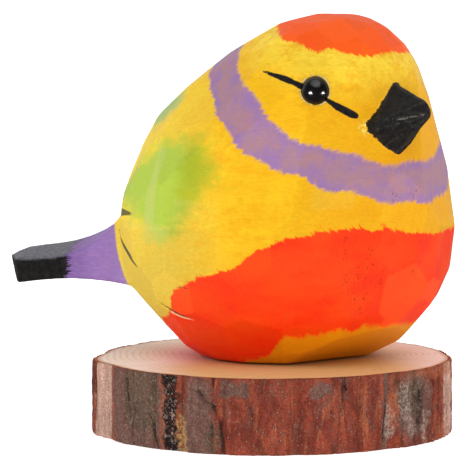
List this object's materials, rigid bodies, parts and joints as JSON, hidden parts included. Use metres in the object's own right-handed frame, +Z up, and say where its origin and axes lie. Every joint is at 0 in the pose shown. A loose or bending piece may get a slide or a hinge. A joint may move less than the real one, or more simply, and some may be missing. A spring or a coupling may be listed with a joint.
{
  "type": "wooden bird ornament",
  "caption": "Small knife-carved round bird in bright paint, perched on a bark-on slice of log, as an ornament that stands on a shelf or desk.",
  "frame": {"origin": "centre of the log slice's flat underside", "axes": "+Z up out of the slice; +X the way the bird's body points, from tail to chest; the bird's right side is -Y, and its head is turned to that side"},
  "size_m": [0.0887, 0.0672, 0.0788],
  "materials": {
    "painted_wood": "knife-carved wood in satin acrylic paint: yellow with an orange crown and belly, a mauve collar and tail, green wing patches and a black beak and tail tip",
    "eye_bead": "opaque black glossy bead",
    "log_slice": "raw sawn end grain with rough reddish-brown bark round the edge"
  },
  "bodies": {
    "root": {"bird": "painted_wood", "eye_right": "eye_bead", "eye_left": "eye_bead", "log_slice": "log_slice"}
  },
  "joints": []
}
